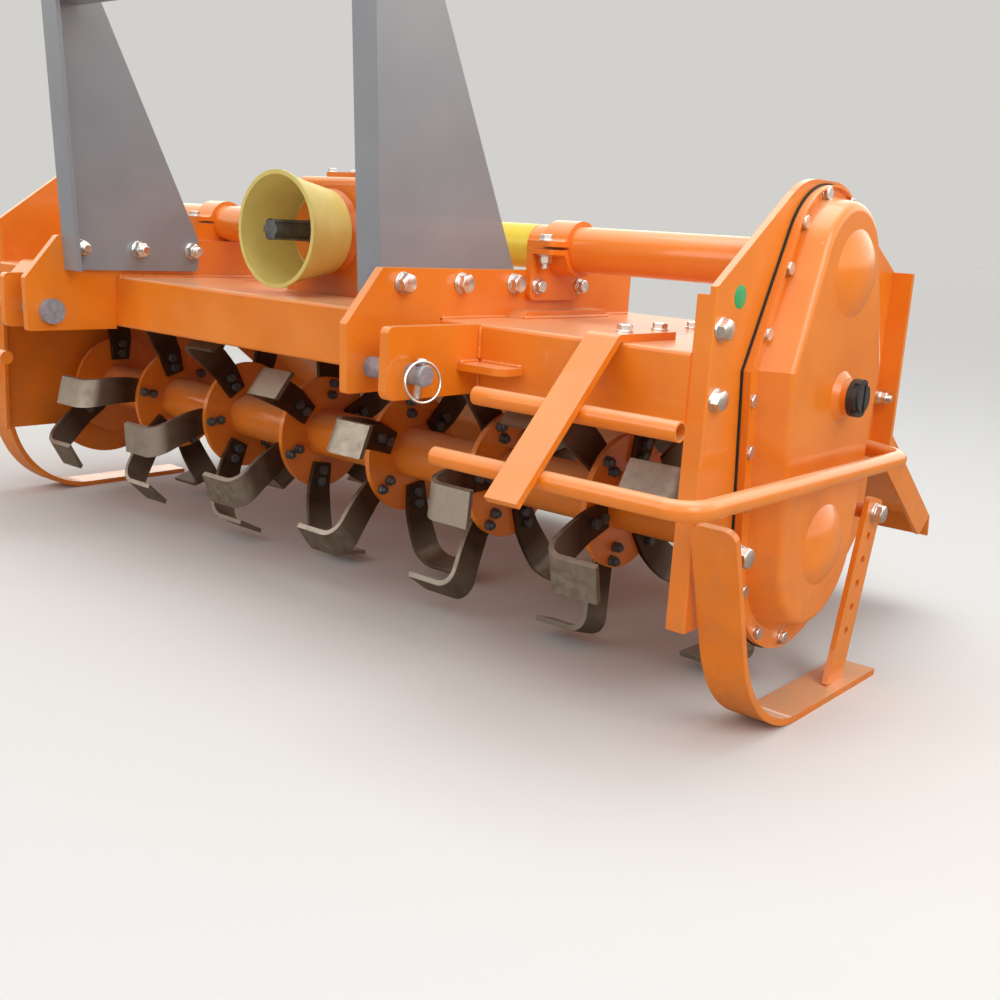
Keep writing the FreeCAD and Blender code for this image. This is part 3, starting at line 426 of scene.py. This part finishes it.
bolt_sizes = {
    # thread: across flats, head, washer radius, washer thickness, nut
    8: (13.0, 5.3, 8.0, 1.6, 6.8),
    10: (16.0, 6.4, 9.0, 1.8, 8.4),
    12: (18.0, 7.5, 12.0, 2.5, 10.8),
    16: (24.0, 10.0, 15.0, 3.0, 14.8),
}
split_share = 0.22
pitch_share = 0.14
bolt_shapes = {}
for thread, (flats, head, washer_r, washer_t, nut_h) in bolt_sizes.items():
    washer = turned_shape([(0, 0), (washer_r, 0), (washer_r, washer_t - 0.4), (washer_r - 0.4, washer_t),
                           (0, washer_t)], 28)
    split = turned_shape([(0, 0), (flats * 0.56, 0), (flats * 0.57, 0.4), (flats * 0.57, thread * 0.2),
                          (flats * 0.56, thread * split_share), (0, thread * split_share)], 28)
    threads = [(0, 0)]
    pitch = thread * pitch_share
    for i in range(5):
        threads += [(thread / 2, pitch * i), (thread / 2, pitch * (i + 0.45)),
                    (thread * 0.43, pitch * (i + 0.72))]
    threads += [(thread * 0.4, pitch * 5), (0, pitch * 5)]
    bolt_shapes[thread] = (washer, split, hex_shape(flats, head, 4), hex_shape(flats, nut_h, 4),
                           turned_shape(threads, 20))


def bolt(bm, thread, foot, way, turn=0.0, split=False, nut=False):
    """A washer, a split washer where there is one, and the head, or the nut with its thread end."""
    thread_sunk = 0.6
    washer_t, nut_h = bolt_sizes[thread][3:]
    washer, split_washer, head_shape, nut_shape, thread_shape = bolt_shapes[thread]
    way = Vector(way)
    foot = Vector(foot)
    put(bm, washer, foot, way)
    foot = foot + way * washer_t / 1000
    if split:
        put(bm, split_washer, foot, way)
        foot = foot + way * thread * split_share / 1000
    put(bm, nut_shape if nut else head_shape, foot, way, math.radians(turn))
    if nut:
        put(bm, thread_shape, foot + way * (nut_h - thread_sunk) / 1000, way)


cover_x = 859.0
front_edge = [
    # y, z of each bolt down the front edge; the rear edge has the same rows
    (313, 222), (284, 164), (245, 83), (226, 0), (232, -66), (239, -136), (249, -206), (257, -255),
    (311, -325),
]
rear_edge = [(2 * rotor_y - y, z) for y, z in front_edge]
top_and_foot = [(368, 260), (440, 250), (392, -350)]
bm = bmesh.new()
for i, (y, z) in enumerate(front_edge + rear_edge + top_and_foot):
    bolt(bm, 10, at(cover_x, y, z), (1, 0, 0), 23 * i)
piece(bm, "gear_cover_bolts", zinc, "frame")

# Bolts of the side plates: M16 with washers, through each side plate into the front beam, and
# behind the gear case a stud with its spacer and nut.
side_x = 850.0
stud_y = 629.0
stud_z = -23.0
spacer_r = 11
spacer_h = 14
spacer = turned_shape([(0, 0), (spacer_r, 0), (spacer_r, spacer_h), (0, spacer_h)], 32)
bm = bmesh.new()
for side in (1, -1):
    for i, (y, z) in enumerate(((151, 90), (153, 5))):
        bolt(bm, 16, at(side * side_x, y, z), (side, 0, 0), 11 + 31 * i)
    put(bm, spacer, at(side * side_x, stud_y, stud_z), (side, 0, 0))
    bolt(bm, 10, at(side * (side_x + spacer_h), stud_y, stud_z), (side, 0, 0), 22, nut=True)
piece(bm, "side_plate_bolts", zinc, "frame")

# Bolts of the mast: three M16 with flat and split washers through each headstock plate and the
# foot of the mast, with their nuts inside.
head_x = 412.5
mast_face = 390.5
mast_row_z = 111.0
bm = bmesh.new()
for side in (1, -1):
    for i, y in enumerate((53, 172, 289)):
        bolt(bm, 16, at(side * head_x, y, mast_row_z), (side, 0, 0), 14 + 27 * i, split=True)
        bolt(bm, 16, at(side * mast_face, y, mast_row_z), (-side, 0, 0), 33 * i, nut=True)
piece(bm, "mast_bolts", zinc, "frame")

# Bolts of the tube clamps: two M12 through each clamp plate into the headstock, and one M12
# through each pair of ears, its nut below.
clamp_x = 422.5
clamp_row_z = 108.0
ear_x = 438.0
ear_top = 176.0
ear_under = 156.0
bm = bmesh.new()
for side in (1, -1):
    for i, y in enumerate((334, 442)):
        bolt(bm, 12, at(side * clamp_x, y, clamp_row_z), (side, 0, 0), 41 * i + 8, split=True)
    for i, y in enumerate((331, 441)):
        bolt(bm, 12, at(side * ear_x, y, ear_top), (0, 0, 1), 19 + 30 * i)
        bolt(bm, 12, at(side * ear_x, y, ear_under), (0, 0, -1), 30 * i, nut=True)
piece(bm, "clamp_bolts", zinc, "frame")

# Bolts of the guard arms: two M12 with washers through the flat end of each arm into the deck,
# and one more M12 in the deck behind the arm.
arm_mid = 698.5
arm_top = 71.0
deck_bolt = (628.0, 461.0, 61.0)
bm = bmesh.new()
for side in (1, -1):
    for i, y in enumerate((172, 256)):
        bolt(bm, 12, at(side * arm_mid, y, arm_top), (0, 0, 1), 12 + 35 * i)
    bolt(bm, 12, at(side * deck_bolt[0], deck_bolt[1], deck_bolt[2]), (0, 0, 1), 50)
piece(bm, "guard_arm_bolts", zinc, "frame")

# Bolts of the skids: zinc plated M16 with flat and split washers, at the pivot behind the nose
# and at the head of the drilled strip.
skid_pivot = (902.0, 156.0, -180.0)
strip_head = (902.0, 565.0, -185.0)
bm = bmesh.new()
for side in (1, -1):
    for i, (x, y, z) in enumerate((skid_pivot, strip_head)):
        bolt(bm, 16, at(side * x, y, z), (side, 0, 0), 25 * i + 6, split=True)
piece(bm, "skid_bolts", zinc, "frame")

# Linch pins: a steel pin with a shouldered head through the end of each lower hitch pin, held by
# its sprung wire ring, which is snapped over the pin's end. All are zinc plated.
linch_x = 503.5
lean = math.radians(-9.0)
ring_r = 26.5
ring_wire_r = 1.8
ring_out = 9
ring_y = -3
ring_z = -8
shank = turned_shape([(0, -34), (3.2, -34), (5.4, -30), (5.4, 12), (7.2, 14), (7.6, 17), (7.2, 20),
                      (5.0, 21.5), (0, 22)], 24)
wire = []
for i in range(12):
    angle = 2 * math.pi * i / 12
    wire.append((ring_r + ring_wire_r * math.cos(angle), ring_wire_r * math.sin(angle)))
for name, side in (("left", 1), ("right", -1)):
    bm = bmesh.new()
    put(bm, shank, at(side * linch_x, 0, 0), (0, -math.sin(lean), math.cos(lean)))
    facing = Vector((side, -0.27, 0.12)).normalized()
    put(bm, turned_shape(wire, 56, hoop=True), at(side * (linch_x + ring_out), ring_y, ring_z), facing)
    pins = piece(bm, "linch_pin_and_ring_" + name, zinc, "frame", 50)
    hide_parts("linch_pin_" + name)


# Weld seams: hand laid fillets that show their ripples under the paint, round the tube ends,
# along the headstock, and at the hitch lug and its shelf.
def seam(bm, points, radius, ripple=3.2):
    """A bead along a line of places, whose ripple is two waves out of step, thin at both ends."""
    end_share = 0.5
    last = None
    count = 0
    for a, b in zip(points, points[1:]):
        steps = max(1, round((b - a).length * 1000 / ripple))
        along = (b - a).normalized()
        one = along.orthogonal().normalized()
        two = along.cross(one)
        for i in range(steps + 1):
            swell = radius * (1.0 + 0.16 * math.sin(count * 1.9) + 0.06 * math.sin(count * 0.7))
            if count == 0 or (b == points[-1] and i == steps):
                swell *= end_share
            count += 1
            middle = a.lerp(b, i / steps)
            ring = []
            for k in range(8):
                angle = math.pi / 4 * k
                ring.append(bm.verts.new(
                    middle + (one * math.cos(angle) + two * math.sin(angle)) * swell / 1000))
            if last is None:
                bm.faces.new(list(reversed(ring)))
            else:
                turn = min(range(8), key=lambda s: (last[0].co - ring[s].co).length)
                ring = ring[turn:] + ring[:turn]
                for k in range(8):
                    bm.faces.new((last[k], last[(k + 1) % 8], ring[(k + 1) % 8], ring[k]))
            last = ring
    bm.faces.new(last)


shaft_z = 166.0
tube_seam_r = 35.5
tube_ends = (108, 827)
straight_seams = (
    # x, y and z of both ends, and the bead's radius
    ((414, 134, 62), (414, 278, 62), 2.6),
    ((414, 506, 62), (414, 600, 62), 2.6),
    ((443.5, 282, 62), (443.5, 500, 62), 3.0),
    ((397, 136, 62), (397, 600, 62), 3.4),
    ((414, 130.5, -28), (414, 130.5, 54), 3.0),
    ((489.5, 130.5, -28), (489.5, 130.5, -2), 3.0),
    ((489.5, 130.5, 13), (489.5, 130.5, 58), 3.0),
    ((490, 92, 11), (490, 130, 11), 2.6),
    ((494, 131, 11), (566, 131, 11), 2.6),
    ((493, 131, -1), (566, 131, -1), 2.6),
)
bm = bmesh.new()
for side in (1, -1):
    for x in tube_ends:
        round_tube = []
        for i in range(49):
            angle = 2 * math.pi * i / 48
            round_tube.append(at(side * x, rotor_y + tube_seam_r * math.cos(angle),
                                 shaft_z + tube_seam_r * math.sin(angle)))
        seam(bm, round_tube, 3.0)
    for start, end, radius in straight_seams:
        seam(bm, [at(side * start[0], start[1], start[2]), at(side * end[0], end[1], end[2])], radius)
piece(bm, "weld_seams", orange, "frame", 60)

# Stickers: a plain yellow band round the drive tube beside the clamp, and a plain green dot on
# the side plate. Both are blank printed film with a satin face.
fade_mm = 18.0
films = {}
for name, colour, shade in (("yellow_film", "#edd348", "#e2c22a"), ("green_film", "#2fae6b", "#26985c")):
    films[name] = bpy.data.materials.new(name)
    films[name].use_nodes = True
    tree = films[name].node_tree
    shader = tree.nodes["Principled BSDF"]
    place = add(tree, "ShaderNodeTexCoord").outputs["Object"]
    fade = add(tree, "ShaderNodeTexNoise", {"Scale": 1000 / fade_mm, "Detail": 4.0}, {"Vector": place})
    tone = add(tree, "ShaderNodeMix", {"A": linear(colour), "B": linear(shade)},
               {"Factor": fade.outputs["Fac"]}, data_type="RGBA")
    tree.links.new(tone.outputs["Result"], shader.inputs["Base Color"])
    dull = add(tree, "ShaderNodeMapRange", {"To Min": 0.25, "To Max": 0.4}, {"Value": fade.outputs["Fac"]})
    tree.links.new(dull.outputs[0], shader.inputs["Roughness"])
band_start = 300
band_end = 379
band_inside = 34.05
band_outside = 34.4
band_from = 78
band_step = 4.6
band_rows = 41
bm = bmesh.new()
rows = []
for i in range(band_rows):
    angle = math.radians(band_from + band_step * i)
    row = []
    for x, r in ((band_start, band_inside), (band_end, band_inside), (band_end, band_outside),
                 (band_start, band_outside)):
        row.append(bm.verts.new(at(x, rotor_y + r * math.cos(angle), shaft_z + r * math.sin(angle))))
    rows.append(row)
for a, b in zip(rows, rows[1:]):
    for k in range(4):
        bm.faces.new((a[k], a[(k + 1) % 4], b[(k + 1) % 4], b[k]))
bm.faces.new(list(reversed(rows[0])))
bm.faces.new(rows[-1])
bmesh.ops.recalc_face_normals(bm, faces=bm.faces)
piece(bm, "yellow_band", films["yellow_film"], "frame")
dot_y = 190
dot_z = 128
bm = bmesh.new()
dot = turned_shape([(0, 0), (14.5, 0), (14.5, 0.3), (14.2, 0.4), (0, 0.4)], 48)
put(bm, dot, at(side_x, dot_y, dot_z), (1, 0, 0))
piece(bm, "green_dot", films["green_film"], "frame")

# Springs of the tailboard's rods: wound spring wire, zinc plated, that presses the board down
# from the seat on each rod. They ride on the rods and end short of the swivel blocks.
spring_r = 15.0
spring_wire_r = 2.2
spring_length = 165.0
turns = 15
steps_per_turn = 20
rod_slope = math.radians(-48.118)
seat_reach = 258.7
along = Vector((0, math.cos(rod_slope), math.sin(rod_slope)))
flank = Vector((0, -math.sin(rod_slope), math.cos(rod_slope)))
for name in ("left", "right"):
    low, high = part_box("rod_swivel_" + name)
    seat = (Vector(low) + Vector(high)) / 2 + along * seat_reach / 1000
    bm = bmesh.new()
    last = None
    steps = turns * steps_per_turn
    for i in range(steps + 1):
        angle = 2 * math.pi * i / steps_per_turn
        way = Vector((1, 0, 0)) * math.cos(angle) + flank * math.sin(angle)
        sunk = spring_wire_r + spring_length * (i / steps)
        middle = seat - along * sunk / 1000 + way * spring_r / 1000
        ring = []
        for k in range(8):
            spin = math.pi / 4 * k
            ring.append(bm.verts.new(
                middle + (way * math.cos(spin) + along * math.sin(spin)) * spring_wire_r / 1000))
        if last is None:
            bm.faces.new(ring)
        else:
            for k in range(8):
                bm.faces.new((last[k], ring[k], ring[(k + 1) % 8], last[(k + 1) % 8]))
        last = ring
    bm.faces.new(list(reversed(last)))
    bmesh.ops.recalc_face_normals(bm, faces=bm.faces)
    piece(bm, "rod_spring_" + name, zinc, "rod_" + name, 60)

# Bolts of the rotor's blades: two M12 through each blade's root and its flange, with the nuts on
# the flange's other side. They are bare steel, dulled by earth. The outer sides of the two end
# flanges have none, and each flange is turned on a little from the one before.
disc_pitch = 230.0
disc_count = 8
disc_half = 5.0
blade_t = 8.0
nut_h = 10.0
bolt_circles = (72, 94)
helix_step = 17
far_side_turn = 60
head_shape = hex_shape(18.0, 7.5, 1)
nut_shape = hex_shape(18.0, nut_h, 1)
thread_end = turned_shape([(0, 0), (5.8, 0), (5.8, 4), (5.2, 4.8), (0, 4.8)], 10)
bm = bmesh.new()
for i in range(disc_count):
    disc_x = disc_pitch * (i - (disc_count - 1) / 2)
    for way in (1, -1):
        if (i == disc_count - 1 and way > 0) or (i == 0 and way < 0):
            continue
        for k in range(3):
            turn = math.radians(120 * k + helix_step * i + (0 if way > 0 else far_side_turn))
            for radius in bolt_circles:
                y = rotor_y - radius * math.sin(turn)
                z = rotor_z + radius * math.cos(turn)
                put(bm, head_shape, at(disc_x + way * (disc_half + blade_t), y, z), (way, 0, 0), turn)
                put(bm, nut_shape, at(disc_x - way * disc_half, y, z), (-way, 0, 0), turn)
                put(bm, thread_end, at(disc_x - way * (disc_half + nut_h), y, z), (-way, 0, 0))
piece(bm, "blade_bolts", turned, "rotor")

# Gearbox fittings: M16 feet bolts, M8 bolts on the lid and on the flanges at both ends of the
# tubes, M10 on the rear cover, a breather with its round cap on the lid and a level plug in the
# rear cover. All are zinc plated.
foot_x = 112.0
foot_top = 75.0
lid_x = 50.0
lid_top = 267.0
rear_x = 60.0
rear_face = 506.0
flange_r = 44.5
breather_y = 372.0
breather_hex = 8.0
plug_z = 128.0
tube_flanges = (
    # x from the middle, and the way its bolt heads face: 1 outwards, -1 inwards
    (107, 1),
    (828, -1),
)
bm = bmesh.new()
for side in (1, -1):
    for y in (308, 466):
        bolt(bm, 16, at(side * foot_x, y, foot_top), (0, 0, 1), 20)
    for y in (338, 387, 436):
        bolt(bm, 8, at(side * lid_x, y, lid_top), (0, 0, 1), 13)
    for z in (112, 166, 220):
        bolt(bm, 10, at(side * rear_x, rear_face, z), (0, 1, 0), 7)
    for x, outward in tube_flanges:
        for i in range(6):
            angle = math.radians(60 * i + 30)
            place = at(side * x, rotor_y + flange_r * math.cos(angle), shaft_z + flange_r * math.sin(angle))
            put(bm, bolt_shapes[8][2], place, (side * outward, 0, 0), angle)
put(bm, hex_shape(22, breather_hex, 4), at(0, breather_y, lid_top), (0, 0, 1))
put(bm, turned_shape([(0, 0), (7, 0), (7, 5), (12, 7), (13, 10), (13, 18), (11, 21), (0, 22)], 28),
    at(0, breather_y, lid_top + breather_hex), (0, 0, 1))
put(bm, hex_shape(19, 7, 4), at(0, rear_face, plug_z), (0, 1, 0))
piece(bm, "gearbox_bolts", zinc, "frame")

# Rotor bearing fittings: six M12 bolts round the housing on the far side plate, and the grease
# nipple on the hexagon in the middle of its cap. All are zinc plated.
housing_face = 862.0
cap_face = 896.0
nipple_hex = 4.0
bearing_bolt_r = 75.0
bm = bmesh.new()
for i in range(6):
    angle = math.radians(60 * i)
    place = at(-housing_face, rotor_y + bearing_bolt_r * math.cos(angle),
               rotor_z + bearing_bolt_r * math.sin(angle))
    bolt(bm, 12, place, (-1, 0, 0), 60 * i)
nipple = turned_shape([(0, 0), (4, 0), (4, 4), (2.6, 6), (2.6, 9), (3.4, 10.5), (3.2, 13), (1.4, 14.5),
                       (0, 14.5)], 16)
put(bm, hex_shape(9, nipple_hex, 2), at(-cap_face, rotor_y, rotor_z), (-1, 0, 0))
put(bm, nipple, at(-cap_face - nipple_hex, rotor_y, rotor_z), (-1, 0, 0))
piece(bm, "bearing_bolts", zinc, "frame")

# Hinge clips: a washer and a split pin at each end of the tailboard's hinge rod, which keep it in
# its lugs. Both are zinc plated.
hinge_y = 657.0
hinge_z = -15.0
washer_x = 766.0
split_pin_x = 774.0
hinge_washer = turned_shape([(0, 0), (14, 0), (14, 2.5), (0, 2.5)], 24)
split_pin = turned_shape([(0, -16), (1.6, -16), (2, -15), (2, 13), (3.4, 14), (3.8, 17), (3.4, 20),
                          (0, 21)], 12)
bm = bmesh.new()
for side in (1, -1):
    put(bm, hinge_washer, at(side * washer_x, hinge_y, hinge_z), (side, 0, 0))
    put(bm, split_pin, at(side * split_pin_x, hinge_y, hinge_z), (0, 0.3, 1))
piece(bm, "hinge_clips", zinc, "frame")
